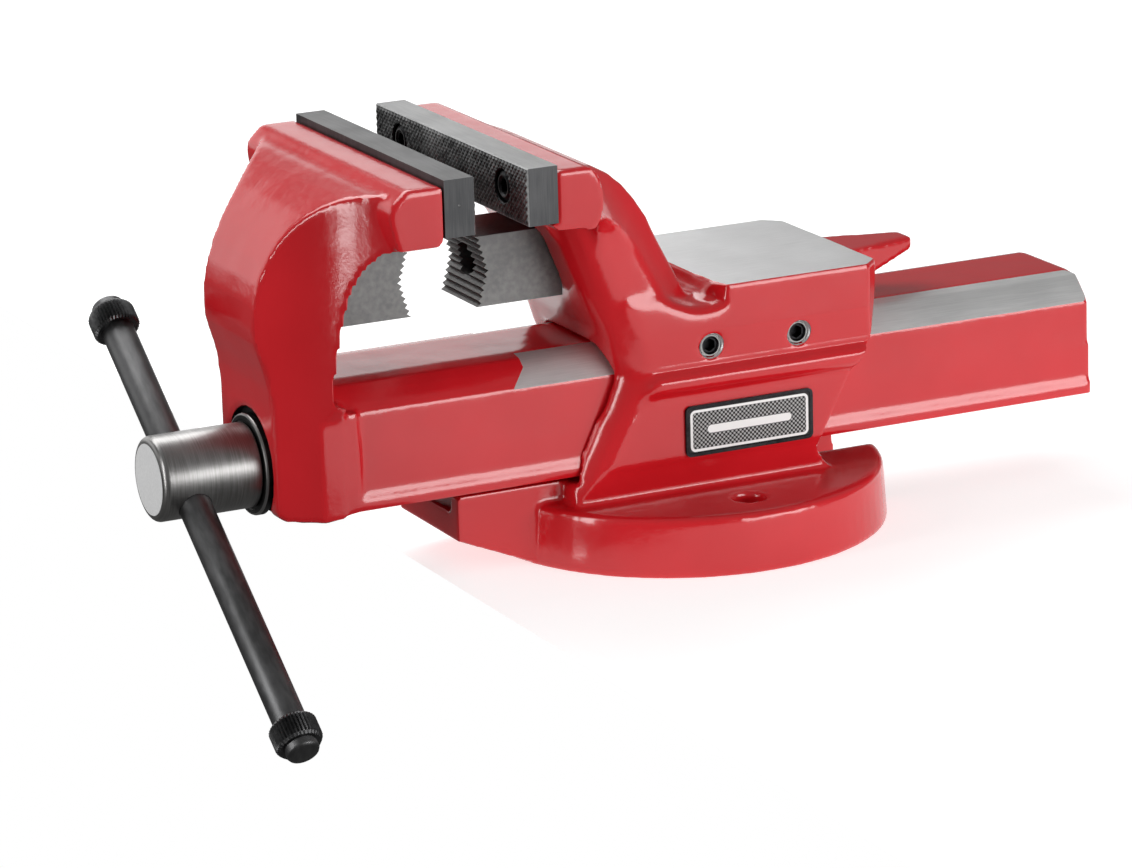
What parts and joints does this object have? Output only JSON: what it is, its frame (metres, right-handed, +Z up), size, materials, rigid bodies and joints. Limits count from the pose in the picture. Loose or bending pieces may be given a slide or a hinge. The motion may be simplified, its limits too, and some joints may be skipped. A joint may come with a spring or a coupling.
{
  "type": "bench vise",
  "caption": "Bench vise with flat and pipe jaws, a sliding hollow beam driven by a screw and sliding bar, an anvil pad with a horn, and a round bolt-down base.",
  "frame": {"origin": "centre of the round base, midway between the base bolt holes, on the bench plane", "axes": "+Z up, +X from the spindle towards the rear of the vise, Y along the jaws"},
  "size_m": [0.429, 0.2125, 0.2182],
  "materials": {
    "painted_casting": "gloss red enamel over a cast surface",
    "jaw_steel": "ground and knurled hardened steel",
    "pipe_jaw_steel": "satin hardened steel with cut teeth",
    "black_screw": "black oxide cap screws",
    "nut_bronze": "machined bronze",
    "gib_bronze": "machined bronze",
    "badge": "printed plate with a plain checked pattern and no lettering",
    "turned_steel": "bright turned steel",
    "dark_washer": "black oxide washer",
    "bar_steel": "dark satin steel",
    "cap_steel": "black knurled steel"
  },
  "bodies": {
    "body": {"body_casting": "painted_casting", "fixed_jaw_plate": "jaw_steel", "fixed_jaw_screws": "black_screw", "fixed_pipe_jaw": "pipe_jaw_steel", "fixed_pipe_screw": "black_screw", "spindle_nut": "nut_bronze", "nut_screws": "black_screw", "gib_strip": "gib_bronze", "gib_set_screws": "black_screw", "name_plate": "badge"},
    "front_jaw": {"front_jaw_casting": "painted_casting", "moving_jaw_plate": "jaw_steel", "moving_jaw_screws": "black_screw", "moving_pipe_jaw": "pipe_jaw_steel", "moving_pipe_screw": "black_screw"},
    "spindle": {"spindle_screw": "turned_steel", "spindle_head": "turned_steel", "head_pin": "turned_steel", "thrust_washer": "dark_washer", "retaining_collar": "dark_washer", "collar_pin": "turned_steel"},
    "handle": {"tommy_bar": "bar_steel", "upper_bar_cap": "cap_steel", "lower_bar_cap": "cap_steel"}
  },
  "joints": [
    {"name": "jaw_slide", "type": "slide", "parent": "body", "child": "front_jaw", "axis": [1, 0, 0], "range_m": [-0.1275, 0.0225]},
    {"name": "spindle_turn", "type": "hinge", "parent": "front_jaw", "child": "spindle", "pos_m": [-0.2, 0, 0.0545], "axis": [1, 0, 0], "range_deg": [-9180, 1620]},
    {"name": "bar_slide", "type": "slide", "parent": "spindle", "child": "handle", "axis": [0, 0.8131, 0.5821], "range_m": [-0.061, 0.113]}
  ],
  "couplings": [
    {"joint": "spindle_turn", "follows": "jaw_slide", "rad_per_m": 1256.6}
  ]
}
